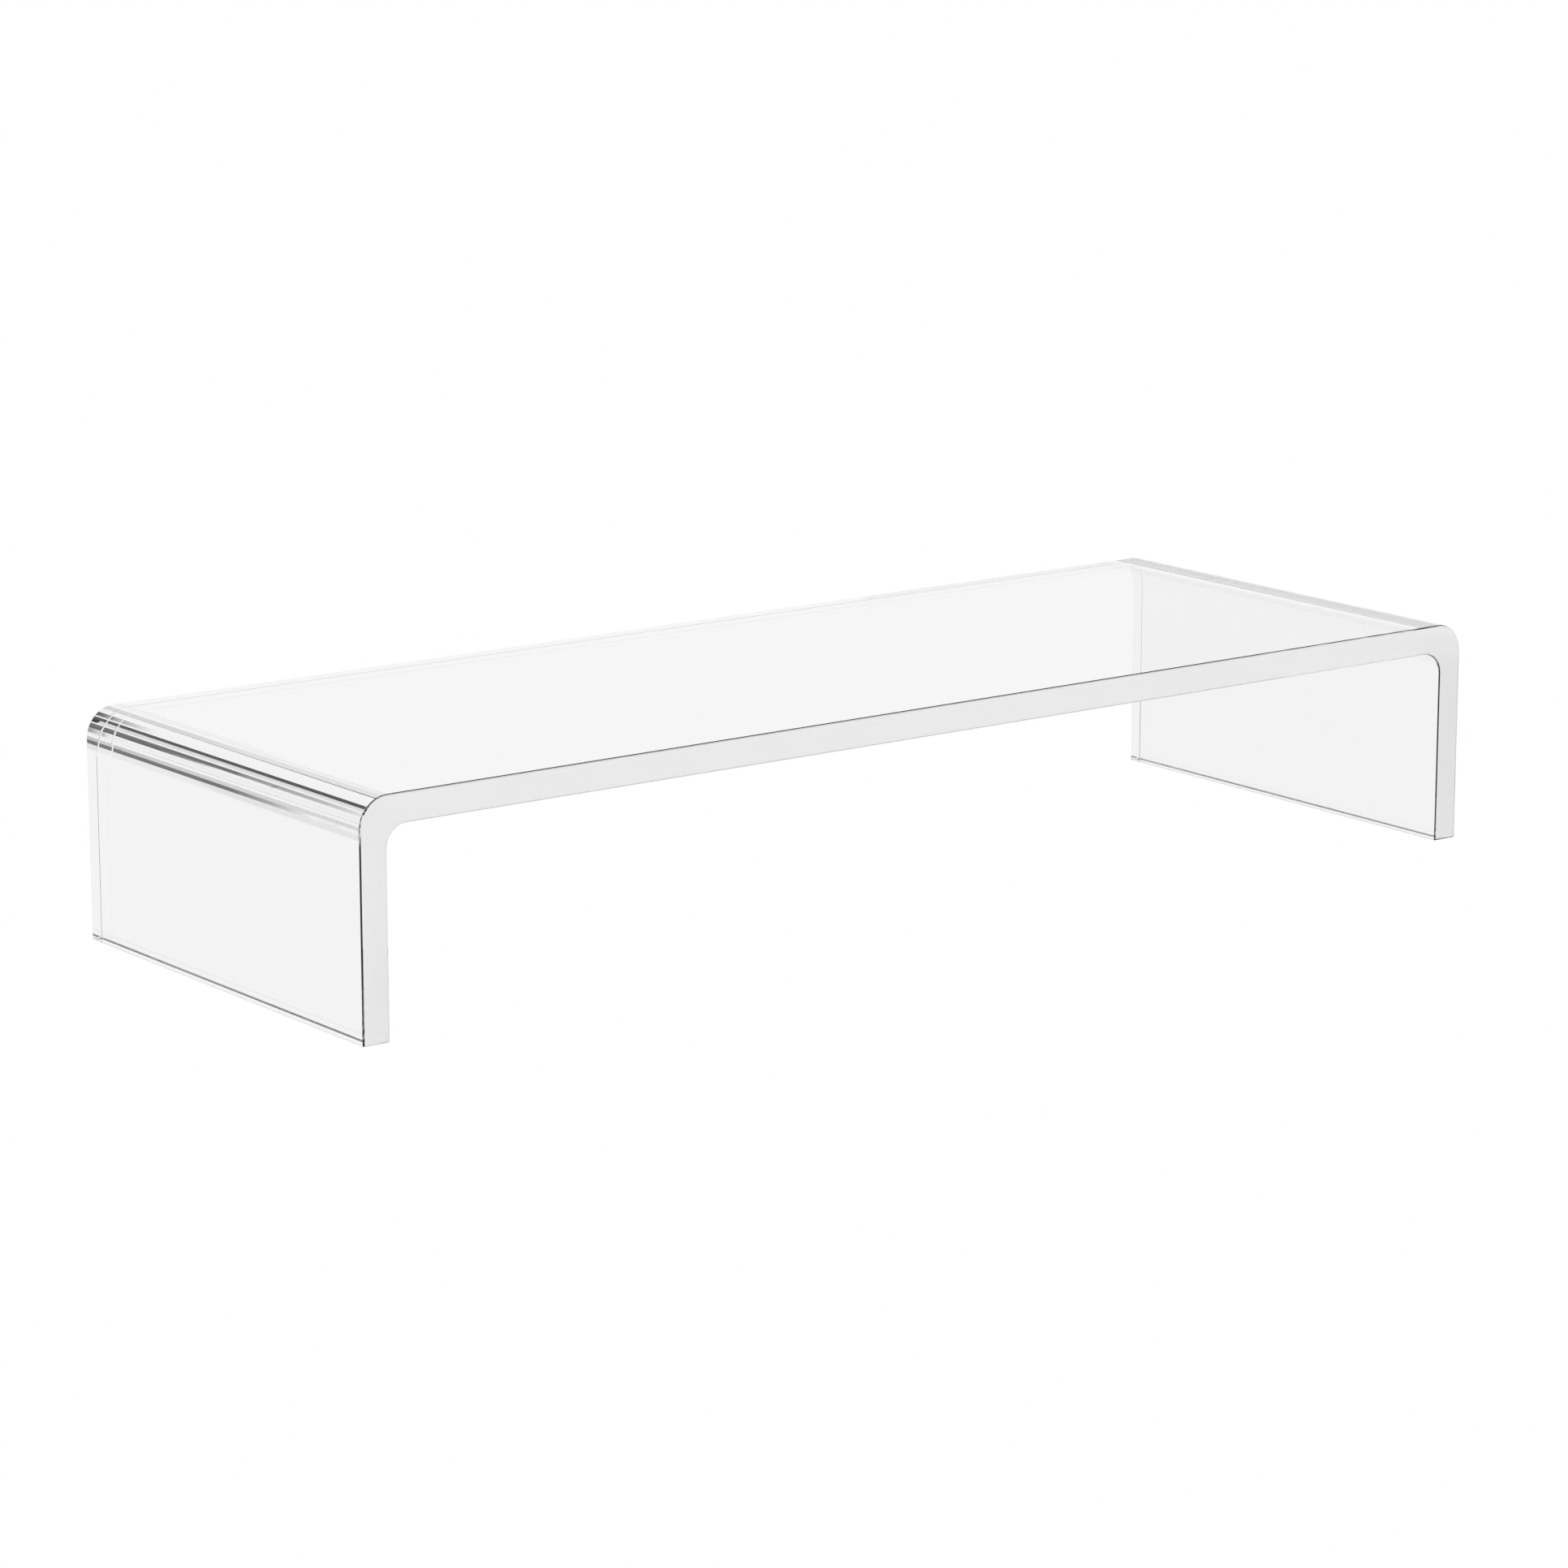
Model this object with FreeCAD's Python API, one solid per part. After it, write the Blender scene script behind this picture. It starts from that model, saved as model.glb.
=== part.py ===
import FreeCAD
import Part
import os

# Monitor riser: one thick sheet of clear acrylic, heated and bent down at both ends into legs.
# Millimetres. +X runs along the width, the front edge faces -Y and +Z is up.
# The origin is on the table, midway between the legs and midway through the depth.

riser_width = 560.0
riser_depth = 201.0
riser_height = 95.0
sheet_thickness = 12.0

# A bend is fuller than the flat sheet: its outer and inner radii don't share a centre.
outer_bend_radius = 12.5
inner_bend_radius = 8.8

# The sharp corners of every cut edge are rubbed down to this small radius.
edge_break_radius = 0.7

# Two lengths closer than this count as the same.
length_tolerance = 0.001


def is_at(value, wanted):
    return abs(value - wanted) < length_tolerance


def square_cornered_sheet():
    """The sheet before its corners are rounded: a top between two legs, open underneath."""
    outer_x = riser_width / 2
    inner_x = outer_x - sheet_thickness
    inner_z = riser_height - sheet_thickness
    right_half = [(inner_x, inner_z), (inner_x, 0), (outer_x, 0), (outer_x, riser_height)]
    left_half = [(-x, z) for x, z in reversed(right_half)]
    outline = [FreeCAD.Vector(x, -riser_depth / 2, z) for x, z in right_half + left_half]
    front_edge = Part.Face(Part.makePolygon(outline + outline[:1]))
    return front_edge.extrude(FreeCAD.Vector(0, riser_depth, 0))


def round_bend(sheet, x_offset, z, radius):
    """Round the two edges that run front to back at this height and distance from the middle."""
    bend_edges = []
    for edge in sheet.Edges:
        middle = edge.CenterOfMass
        if is_at(abs(middle.x), x_offset) and is_at(middle.y, 0) and is_at(middle.z, z):
            bend_edges.append(edge)
    return sheet.makeFillet(radius, bend_edges)


def break_cut_edges(sheet):
    """Take the sharpness off the front and back cut edges and off the ends of the legs."""
    sharp_edges = []
    for edge in sheet.Edges:
        box = edge.BoundBox
        on_front_or_back = is_at(box.YLength, 0)
        on_leg_end = is_at(box.ZMax, 0)
        if on_front_or_back or on_leg_end:
            sharp_edges.append(edge)
    return sheet.makeFillet(edge_break_radius, sharp_edges)


def bent_acrylic_sheet():
    half_width = riser_width / 2
    sheet = square_cornered_sheet()
    sheet = round_bend(sheet, half_width, riser_height, outer_bend_radius)
    sheet = round_bend(sheet, half_width - sheet_thickness, riser_height - sheet_thickness, inner_bend_radius)
    return break_cut_edges(sheet)


os.makedirs("parts", exist_ok=True)
bent_acrylic_sheet().exportStep("parts/bent_acrylic_sheet.step")
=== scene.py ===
import math

import bpy
from bpy.props import FloatProperty, FloatVectorProperty, IntProperty, PointerProperty
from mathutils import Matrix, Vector


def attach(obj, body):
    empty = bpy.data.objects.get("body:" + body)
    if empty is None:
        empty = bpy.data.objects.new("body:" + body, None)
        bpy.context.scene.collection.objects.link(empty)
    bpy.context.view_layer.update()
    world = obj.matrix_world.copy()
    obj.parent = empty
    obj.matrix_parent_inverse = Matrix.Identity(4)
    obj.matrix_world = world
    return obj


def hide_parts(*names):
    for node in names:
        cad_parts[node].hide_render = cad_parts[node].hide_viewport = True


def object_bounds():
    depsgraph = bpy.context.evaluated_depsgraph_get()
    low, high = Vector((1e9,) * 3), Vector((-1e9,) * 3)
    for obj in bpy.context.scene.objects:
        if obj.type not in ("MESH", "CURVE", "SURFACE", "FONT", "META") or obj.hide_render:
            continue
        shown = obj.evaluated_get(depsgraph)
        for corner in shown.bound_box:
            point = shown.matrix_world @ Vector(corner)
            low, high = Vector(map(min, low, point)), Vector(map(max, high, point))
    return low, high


bl_info = {
    "name": "Bent acrylic monitor riser",
    "version": (1, 0, 0),
    "blender": (4, 5, 0),
    "location": "3D View > Sidebar > Riser",
    "description": "Builds the clear acrylic sheet of a monitor riser, and its white studio",
    "category": "Object",
}

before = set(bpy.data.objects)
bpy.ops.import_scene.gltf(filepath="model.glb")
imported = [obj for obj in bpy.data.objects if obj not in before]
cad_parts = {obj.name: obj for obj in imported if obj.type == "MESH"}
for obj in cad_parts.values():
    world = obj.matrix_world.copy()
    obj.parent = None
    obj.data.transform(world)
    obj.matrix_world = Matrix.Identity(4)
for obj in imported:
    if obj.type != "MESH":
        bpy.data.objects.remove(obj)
cad_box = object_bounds()

MILLIMETRE = 0.001
SHEET_NODE = "bent_acrylic_sheet"
FULL_TURN = 2 * math.pi
QUARTER_TURN = math.pi / 2

# The studio stands round the riser as bands of even light above a white floor. Each band is the height
# in degrees above the horizon that it starts at, and its brightness. They are the dark foot of the
# wall, the white wall, a black card hung all round, and the white ceiling. Clear acrylic shows what
# stands round it, so what is dark here can show as dark lines along the bends. BAND_EDGE is half the
# width in degrees of the change from one band to the next.
FOOT_OF_WALL = (0, 0.05)
WALL = (1.2, 1.0)
CARD = (25, 0.05)
CEILING = (31, 1.0)
LIGHT_BANDS = (FOOT_OF_WALL, WALL, CARD, CEILING)
BAND_EDGE = 0.2
ZENITH = 90

FLOOR_SIDES = 64
FLOOR_GAP = 0.2 * MILLIMETRE
SENSOR_WIDTH = 36
NEAREST_SEEN = 0.05
FARTHEST_SEEN = 200

# The acrylic itself: how far it bends light, how strongly its own tint takes hold for each metre of
# path inside it, and the share of light that its scraped edges let through instead of scattering.
ACRYLIC_IOR = 1.49
TINT_PER_METRE = 5.0
SCRAPED_SEE_THROUGH = 0.15

# The sizes of the fine marks, and how many times longer they are drawn out along x, y and z.
GRAIN = 1.5 * MILLIMETRE
WIPE_MARK = 0.4 * MILLIMETRE
WIPE_MARK_STRETCH = (150, 4, 4)
BLADE_MARK = 0.5 * MILLIMETRE
BLADE_MARK_STRETCH = (60, 60, 1)
BLADE_MARK_DEPTH = 0.05 * MILLIMETRE
CLOUD = 25 * MILLIMETRE

# The two materials of the sheet, in the order that they are given to it.
GLOSS, CUT = 0, 1
# Neighbouring outline points nearer than this across are on one rounded corner.
ONE_CORNER = 2 * MILLIMETRE
# A face that starts lower than FOOT_LEVEL and faces further down than STRAIGHT_DOWN is a leg's end.
FOOT_LEVEL = 0.1 * MILLIMETRE
STRAIGHT_DOWN = -0.99
# Corners that agree to this many decimals of a metre are one vertex.
SAME_PLACE_DIGITS = 7


def linear_from_hex(hex_colour):
    """An sRGB colour such as "F4F4F4" as the linear red, green and blue that Blender works in."""
    channels = [int(hex_colour[start:start + 2], 16) / 255 for start in (0, 2, 4)]
    return tuple(c / 12.92 if c <= 0.04045 else ((c + 0.055) / 1.055) ** 2.4 for c in channels)


class RiserSheetSettings(bpy.types.PropertyGroup):
    """The bent sheet's own sizes and colours."""

    thickness: FloatProperty(
        name="Sheet thickness", description="Thickness of the flat sheet",
        default=12 * MILLIMETRE, min=MILLIMETRE, unit="LENGTH", subtype="DISTANCE",
    )
    outer_bend_radius: FloatProperty(
        name="Outer bend radius", description="Radius of the outside of the two bends",
        default=12.5 * MILLIMETRE, min=MILLIMETRE, unit="LENGTH", subtype="DISTANCE",
    )
    inner_bend_radius: FloatProperty(
        name="Inner bend radius", description="Radius of the inside of the two bends",
        default=8.8 * MILLIMETRE, min=MILLIMETRE, unit="LENGTH", subtype="DISTANCE",
    )
    outer_bend_flats: IntProperty(
        name="Outer bend flats", description="Narrow flats that the outside of a bend is made of",
        default=8, min=2,
    )
    inner_bend_flats: IntProperty(
        name="Inner bend flats", description="Narrow flats that the inside of a bend is made of",
        default=6, min=2,
    )
    edge_break: FloatProperty(
        name="Edge break", description="Radius that the corners of the cut edges are rubbed down to",
        default=0.7 * MILLIMETRE, min=0.01 * MILLIMETRE, unit="LENGTH", subtype="DISTANCE",
    )
    edge_steps: IntProperty(
        name="Edge steps", description="Faces round a rubbed-down corner",
        default=6, min=1,
    )
    body_tint: FloatVectorProperty(
        name="Body tint", description="Faint grey that a long path through the acrylic takes on",
        default=linear_from_hex("F4F4F4"), size=3, min=0, max=1, subtype="COLOR",
    )
    face_tint: FloatVectorProperty(
        name="Face tint", description="How much light gets through the two faces of the sheet",
        default=linear_from_hex("F3F3F3"), size=3, min=0, max=1, subtype="COLOR",
    )
    scraped_colour: FloatVectorProperty(
        name="Scraped colour", description="Colour of the light that the scraped cut edges scatter",
        default=linear_from_hex("F4F4F4"), size=3, min=0, max=1, subtype="COLOR",
    )


class RiserStageSettings(bpy.types.PropertyGroup):
    """The white studio and the camera."""

    floor_colour: FloatVectorProperty(
        name="Floor colour", description="Colour of the lit white floor",
        default=linear_from_hex("FFFFFF"), size=3, min=0, max=1, subtype="COLOR",
    )
    floor_radius: FloatProperty(
        name="Floor radius", description="How far the floor reaches from the riser",
        default=60, min=1, unit="LENGTH", subtype="DISTANCE",
    )
    camera_azimuth: FloatProperty(
        name="Camera azimuth", description="Turn of the camera about the riser, 0 being in front",
        default=math.radians(-37.07), unit="ROTATION", subtype="ANGLE",
    )
    camera_elevation: FloatProperty(
        name="Camera elevation", description="Height of the camera above the horizon",
        default=math.radians(12.84), unit="ROTATION", subtype="ANGLE",
    )
    camera_distance: FloatProperty(
        name="Camera distance", description="Distance from the camera to the point it looks at",
        default=2.2115, min=0.1, unit="LENGTH", subtype="DISTANCE",
    )
    camera_lens: FloatProperty(
        name="Lens", description="Focal length in millimetres, for the width of the sensor",
        default=121.7, min=10,
    )
    light_passes: IntProperty(
        name="Light passes", description="How often light may be bent or mirrored before it is given up",
        default=8, min=1,
    )
    aim_sideways: FloatProperty(
        name="Aim sideways", description="How far right of the riser's middle the camera looks",
        default=-6.6 * MILLIMETRE, unit="LENGTH", subtype="DISTANCE",
    )
    aim_up: FloatProperty(
        name="Aim up", description="How far up its picture from the riser's foot the camera looks",
        default=42.7 * MILLIMETRE, unit="LENGTH", subtype="DISTANCE",
    )


def add_node(tree, kind, settings=None, **links):
    """Add a node to a tree, give it its settings, and fill its input sockets with values or links.

    A socket is called by its name, or by i and its number where several sockets share a name.
    """
    node = tree.nodes.new(kind)
    for name, value in (settings or {}).items():
        setattr(node, name, value)
    for socket_name, source in links.items():
        key = socket_name.replace("_", " ")
        socket = node.inputs[int(key[1:])] if key[0] == "i" and key[1:].isdigit() else node.inputs[key]
        if isinstance(source, bpy.types.NodeSocket):
            tree.links.new(source, socket)
        else:
            socket.default_value = source
    return node


def new_material(name):
    material = bpy.data.materials.new(name)
    material.use_nodes = True
    material.node_tree.nodes.clear()
    return material


def noise_along(tree, size, stretch=(1, 1, 1), detail=2.0):
    """Noise with features one size across, in metres, and stretched that many times along each axis."""
    place = add_node(tree, "ShaderNodeTexCoord").outputs["Object"]
    scale = [1 / (size * longer) for longer in stretch]
    fitted = add_node(tree, "ShaderNodeMapping", {"vector_type": "POINT"}, Vector=place, Scale=scale)
    return add_node(
        tree, "ShaderNodeTexNoise", Vector=fitted.outputs[0], Scale=1.0, Detail=detail,
    ).outputs["Fac"]


def between(tree, factor, low, high, spread=(0.3, 0.7)):
    """A number that runs from low to high as the factor crosses its spread."""
    return add_node(
        tree, "ShaderNodeMapRange",
        Value=factor, From_Min=spread[0], From_Max=spread[1], To_Min=low, To_Max=high,
    ).outputs[0]


def tinted(tree, factor, colour, change):
    """A colour made a little lighter and darker by a factor."""
    dark, light = [(*(channel * (1 + sign * change) for channel in colour), 1) for sign in (-1, 1)]
    mix = add_node(tree, "ShaderNodeMix", {"data_type": "RGBA"}, i0=factor, i6=dark, i7=light)
    return mix.outputs[2]


def acrylic_body(tree, sheet):
    """The faint grey of the acrylic itself, which builds up along a path inside the sheet."""
    return add_node(
        tree, "ShaderNodeVolumeAbsorption", Color=(*sheet.body_tint, 1), Density=TINT_PER_METRE,
    ).outputs[0]


def cast_gloss(tree, sheet):
    """The glassy faces of cast acrylic, which cools against polished plate glass.

    They mirror and bend light like a window. A faint grain, drawn far coarser than a real one so
    that it shows at all, and hairline wipe marks keep them from looking perfectly empty.
    """
    grain = noise_along(tree, GRAIN)
    wipe_marks = noise_along(tree, WIPE_MARK, WIPE_MARK_STRETCH)
    return add_node(
        tree, "ShaderNodeBsdfPrincipled",
        Base_Color=tinted(tree, grain, sheet.face_tint, change=0.006),
        Roughness=between(tree, wipe_marks, low=0.0, high=0.02, spread=(0.62, 0.8)),
        IOR=ACRYLIC_IOR, Transmission_Weight=1.0,
    ).outputs[0]


def polished_cast_acrylic(sheet):
    """Polymethyl methacrylate sheet, cast between plates of glass and wiped clean."""
    material = new_material("polished_cast_acrylic")
    tree = material.node_tree
    add_node(
        tree, "ShaderNodeOutputMaterial",
        Surface=cast_gloss(tree, sheet), Volume=acrylic_body(tree, sheet),
    )
    return material


def scraped_cut_acrylic(sheet):
    """The cut edges: sawn, then scraped smooth with a steel blade drawn along them.

    From outside they look satin, because the fine marks of the blade scatter the light, and read as
    an even pale grey. Light that reaches them from inside the sheet meets them at a slant, where such
    fine marks no longer count, and is mirrored as by a polished face.
    """
    material = new_material("scraped_cut_acrylic")
    tree = material.node_tree
    blade_marks = noise_along(tree, BLADE_MARK, BLADE_MARK_STRETCH, detail=4.0)
    cloudiness = noise_along(tree, CLOUD)
    relief = add_node(
        tree, "ShaderNodeBump", Height=blade_marks, Strength=0.15, Distance=BLADE_MARK_DEPTH,
    ).outputs[0]
    satin = add_node(
        tree, "ShaderNodeBsdfPrincipled",
        Base_Color=tinted(tree, cloudiness, sheet.scraped_colour, change=0.02),
        Roughness=between(tree, blade_marks, low=0.35, high=0.5),
        IOR=ACRYLIC_IOR, Transmission_Weight=SCRAPED_SEE_THROUGH, Normal=relief,
    )
    from_inside = add_node(tree, "ShaderNodeNewGeometry").outputs["Backfacing"]
    surface = add_node(
        tree, "ShaderNodeMixShader", i0=from_inside, i1=satin.outputs[0], i2=cast_gloss(tree, sheet),
    )
    add_node(
        tree, "ShaderNodeOutputMaterial", Surface=surface.outputs[0], Volume=acrylic_body(tree, sheet),
    )
    return material


def outward(start, end):
    """The direction that a stretch of the outline faces, going clockwise as seen from the front."""
    run, rise = end[0] - start[0], end[1] - start[1]
    length = math.hypot(run, rise)
    return (-rise / length, run / length)


def sheet_outline(sheet):
    """The bent sheet's outline seen from the front: its corner points, each with how an inset moves it.

    It runs clockwise from the foot of the left leg. Each entry is a point, the shift that one metre of
    inset gives it, and the direction that a rounded corner faces there, or None between flats.
    """
    low, high = cad_box
    half_width = (high.x - low.x) / 2
    corner = sheet.edge_break

    def rounded_foot(x, start):
        steps = sheet.edge_steps
        facings = [start - QUARTER_TURN * step / steps for step in range(steps + 1)]
        directions = [(math.cos(facing), math.sin(facing)) for facing in facings]
        return [((x + corner * d[0], corner + corner * d[1]), (-d[0], -d[1]), d) for d in directions]

    def bend(left, top, radius, flats):
        """The left bend from the leg up to the top: evenly spaced points on a quarter circle."""
        turns = [QUARTER_TURN * step / flats for step in range(flats + 1)]
        return [
            ((left + radius * (1 - math.cos(turn)), top - radius * (1 - math.sin(turn))), None, None)
            for turn in turns
        ]

    def mirrored(entries):
        return [((-point[0], point[1]), None, None) for point, shift, facing in reversed(entries)]

    leg_inside = half_width - sheet.thickness
    underside = high.z - sheet.thickness
    outside = bend(-half_width, high.z, sheet.outer_bend_radius, sheet.outer_bend_flats)
    inside = bend(-leg_inside, underside, sheet.inner_bend_radius, sheet.inner_bend_flats)
    entries = rounded_foot(-half_width + corner, -QUARTER_TURN)
    entries += outside + mirrored(outside)
    entries += rounded_foot(half_width - corner, 0)
    entries += rounded_foot(leg_inside + corner, -QUARTER_TURN)
    entries += mirrored(inside[::-1]) + inside[::-1]
    entries += rounded_foot(-leg_inside - corner, 0)

    count = len(entries)
    for index, (point, shift, facing) in enumerate(entries):
        if shift is None:
            before = outward(entries[index - 1][0], point)
            after = outward(point, entries[(index + 1) % count][0])
            blend = 1 + before[0] * after[0] + before[1] * after[1]
            shift = (-(before[0] + after[0]) / blend, -(before[1] + after[1]) / blend)
            entries[index] = (point, shift, None)
    return entries


def stretch_facings(outline):
    """For the stretch after each point of the outline, the directions it faces at its two ends."""
    facings = []
    for index, (point, shift, facing) in enumerate(outline):
        next_point, next_shift, next_facing = outline[(index + 1) % len(outline)]
        if facing and next_facing and abs(point[0] - next_point[0]) < ONE_CORNER:
            facings.append((facing, next_facing))
        else:
            facings.append((outward(point, next_point),) * 2)
    return facings


def build_sheet_mesh(sheet):
    """The bent sheet as one closed mesh: walls along the outline, rounded edge breaks and two cut edges.

    The cut edges and the ends of the legs are cut, and all else is gloss. Every face keeps its own
    facing, so the flats of the bends stay flat, except round the edge breaks, which are smooth.
    """
    low, high = cad_box
    half_depth = (high.y - low.y) / 2
    outline = sheet_outline(sheet)
    facings = stretch_facings(outline)
    count = len(outline)

    # Each ring is the outline at one depth: how far back, how far drawn in, and how far it leans.
    rings = []
    for step in range(sheet.edge_steps + 1):
        lean = QUARTER_TURN * (1 - step / sheet.edge_steps)
        inset = sheet.edge_break * (1 - math.cos(lean))
        rings.append((-half_depth + sheet.edge_break * (1 - math.sin(lean)), inset, lean))
    rings += [(-y, inset, -lean) for y, inset, lean in reversed(rings)]

    vertices = []
    index_of = {}

    def vertex(index, ring):
        point, shift, facing = outline[index % count]
        y, inset, lean = rings[ring]
        place = (point[0] + inset * shift[0], y, point[1] + inset * shift[1])
        key = tuple(round(value, SAME_PLACE_DIGITS) for value in place)
        if key not in index_of:
            index_of[key] = len(vertices)
            vertices.append(place)
        return index_of[key]

    faces = []
    normals = []
    face_materials = []

    def add_face(corners, corner_normals, material):
        kept = [i for i in range(len(corners)) if corners[i] != corners[i - 1]]
        if len(kept) > 2:
            faces.append([corners[i] for i in kept])
            normals.extend(corner_normals[i] for i in kept)
            face_materials.append(material)

    for ring in range(len(rings) - 1):
        for index in range(count):
            corners = []
            corner_normals = []
            for side, end in ((ring, 1), (ring + 1, 1), (ring + 1, 0), (ring, 0)):
                lean = rings[side][2]
                facing = facings[index][end]
                corners.append(vertex(index + end, side))
                across = math.cos(lean)
                corner_normals.append((across * facing[0], -math.sin(lean), across * facing[1]))
            on_leg_end = facings[index][0] == facings[index][1] and facings[index][0][1] < STRAIGHT_DOWN
            is_wall = rings[ring][1] == rings[ring + 1][1]
            at_foot = outline[index][0][1] < FOOT_LEVEL
            is_cut = on_leg_end and at_foot and is_wall
            add_face(corners, corner_normals, CUT if is_cut else GLOSS)

    front = [vertex(index, 0) for index in range(count)]
    back = [vertex(index, len(rings) - 1) for index in range(count)]
    add_face(front[::-1], [(0, -1, 0)] * count, CUT)
    add_face(back, [(0, 1, 0)] * count, CUT)

    mesh = bpy.data.meshes.new("clear_sheet")
    mesh.from_pydata(vertices, [], faces)
    mesh.polygons.foreach_set("material_index", face_materials)
    mesh.shade_smooth()
    mesh.normals_split_custom_set(normals)
    mesh.update()
    return mesh


class RISER_OT_bent_sheet(bpy.types.Operator):
    """Build the bent acrylic sheet in place of its CAD node"""

    bl_idname = "riser.bent_sheet"
    bl_label = "Build bent sheet"

    def execute(self, context):
        sheet = context.scene.riser_sheet
        piece = bpy.data.objects.new("clear_sheet", build_sheet_mesh(sheet))
        context.scene.collection.objects.link(piece)
        piece.data.materials.append(polished_cast_acrylic(sheet))
        piece.data.materials.append(scraped_cut_acrylic(sheet))
        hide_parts(SHEET_NODE)
        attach(piece, "root")
        return {"FINISHED"}


def studio_world():
    """Light from all round, in bands that change only with the height above the horizon.

    The camera itself sees plain white, as a cut-out backdrop would give.
    """
    world = bpy.data.worlds.new("white_studio")
    world.use_nodes = True
    tree = world.node_tree
    tree.nodes.clear()
    direction = add_node(tree, "ShaderNodeTexCoord").outputs["Generated"]
    upward = add_node(tree, "ShaderNodeSeparateXYZ", Vector=direction).outputs["Z"]
    height = add_node(tree, "ShaderNodeMath", {"operation": "ARCSINE"}, i0=upward)
    share = add_node(
        tree, "ShaderNodeMath", {"operation": "DIVIDE"}, i0=height.outputs[0], i1=QUARTER_TURN,
    )
    brightness = add_node(tree, "ShaderNodeFloatCurve", Value=share.outputs[0])
    steps = [(0, LIGHT_BANDS[0][1])]
    for (_, below), (start, above) in zip(LIGHT_BANDS, LIGHT_BANDS[1:]):
        steps += [(start - BAND_EDGE, below), (start + BAND_EDGE, above)]
    steps.append((ZENITH, LIGHT_BANDS[-1][1]))
    curve = brightness.mapping.curves[0]
    while len(curve.points) < len(steps):
        curve.points.new(0.5, 0.5)
    for point, (degrees, light) in zip(curve.points, steps):
        point.location = (degrees / ZENITH, light)
        point.handle_type = "VECTOR"
    brightness.mapping.update()
    white = (1, 1, 1, 1)
    walls = add_node(tree, "ShaderNodeBackground", Color=white, Strength=brightness.outputs[0])
    backdrop = add_node(tree, "ShaderNodeBackground", Color=white, Strength=1.0)
    seen = add_node(tree, "ShaderNodeLightPath").outputs["Is Camera Ray"]
    light = add_node(
        tree, "ShaderNodeMixShader", i0=seen, i1=walls.outputs[0], i2=backdrop.outputs[0],
    )
    add_node(tree, "ShaderNodeOutputWorld", Surface=light.outputs[0])
    return world


def build_floor(stage):
    """A flat white floor just under the riser, lit evenly from within like an overexposed cove."""
    z = cad_box[0].z - FLOOR_GAP
    radius = stage.floor_radius
    turns = [FULL_TURN * step / FLOOR_SIDES for step in range(FLOOR_SIDES)]
    rim = [(radius * math.cos(turn), radius * math.sin(turn), z) for turn in turns]
    mesh = bpy.data.meshes.new("studio_floor")
    mesh.from_pydata(rim, [], [list(range(FLOOR_SIDES))])
    material = new_material("lit_white_floor")
    tree = material.node_tree
    glow = add_node(tree, "ShaderNodeEmission", Color=(*stage.floor_colour, 1), Strength=1.0)
    add_node(tree, "ShaderNodeOutputMaterial", Surface=glow.outputs[0])
    mesh.materials.append(material)
    floor = bpy.data.objects.new("studio_floor", mesh)
    bpy.context.scene.collection.objects.link(floor)


def build_camera(stage):
    """The camera, on the left of the riser and a little above it."""
    azimuth, elevation = stage.camera_azimuth, stage.camera_elevation
    level = math.cos(elevation)
    back = Vector((math.sin(azimuth) * level, -math.cos(azimuth) * level, math.sin(elevation)))
    right = Vector((math.cos(azimuth), math.sin(azimuth), 0))
    up = back.cross(right)
    target = right * stage.aim_sideways + up * stage.aim_up
    data = bpy.data.cameras.new("studio_camera")
    data.lens = stage.camera_lens
    data.sensor_width = SENSOR_WIDTH
    data.clip_start = NEAREST_SEEN
    data.clip_end = FARTHEST_SEEN
    camera = bpy.data.objects.new("studio_camera", data)
    bpy.context.scene.collection.objects.link(camera)
    camera.location = target + back * stage.camera_distance
    camera.rotation_mode = "QUATERNION"
    camera.rotation_quaternion = (-back).to_track_quat("-Z", "Y")
    bpy.context.scene.camera = camera


class RISER_OT_stage(bpy.types.Operator):
    """Build the white floor, the studio light and the camera"""

    bl_idname = "riser.stage"
    bl_label = "Build stage"

    def execute(self, context):
        scene = context.scene
        build_floor(scene.riser_stage)
        build_camera(scene.riser_stage)
        scene.world = studio_world()
        scene.view_settings.view_transform = "Standard"
        # Light still inside the sheet after this many passes is given up, which darkens the places
        # that it would have come out of.
        passes = scene.riser_stage.light_passes
        scene.cycles.max_bounces = passes
        scene.cycles.transmission_bounces = passes
        scene.cycles.glossy_bounces = passes
        return {"FINISHED"}


class RISER_PT_panel(bpy.types.Panel):
    """Lists the riser's operators"""

    bl_idname = "RISER_PT_panel"
    bl_label = "Monitor riser"
    bl_space_type = "VIEW_3D"
    bl_region_type = "UI"
    bl_category = "Riser"

    def draw(self, context):
        for operator in OPERATORS:
            self.layout.operator(operator.bl_idname)


OPERATORS = (RISER_OT_bent_sheet, RISER_OT_stage)
CLASSES = (RiserSheetSettings, RiserStageSettings, *OPERATORS, RISER_PT_panel)


def register():
    for cls in CLASSES:
        bpy.utils.register_class(cls)
    bpy.types.Scene.riser_sheet = PointerProperty(type=RiserSheetSettings)
    bpy.types.Scene.riser_stage = PointerProperty(type=RiserStageSettings)


def unregister():
    del bpy.types.Scene.riser_stage
    del bpy.types.Scene.riser_sheet
    for cls in reversed(CLASSES):
        bpy.utils.unregister_class(cls)


def main():
    register()
    bpy.ops.riser.bent_sheet()
    bpy.ops.riser.stage()


if __name__ == "__main__":
    main()
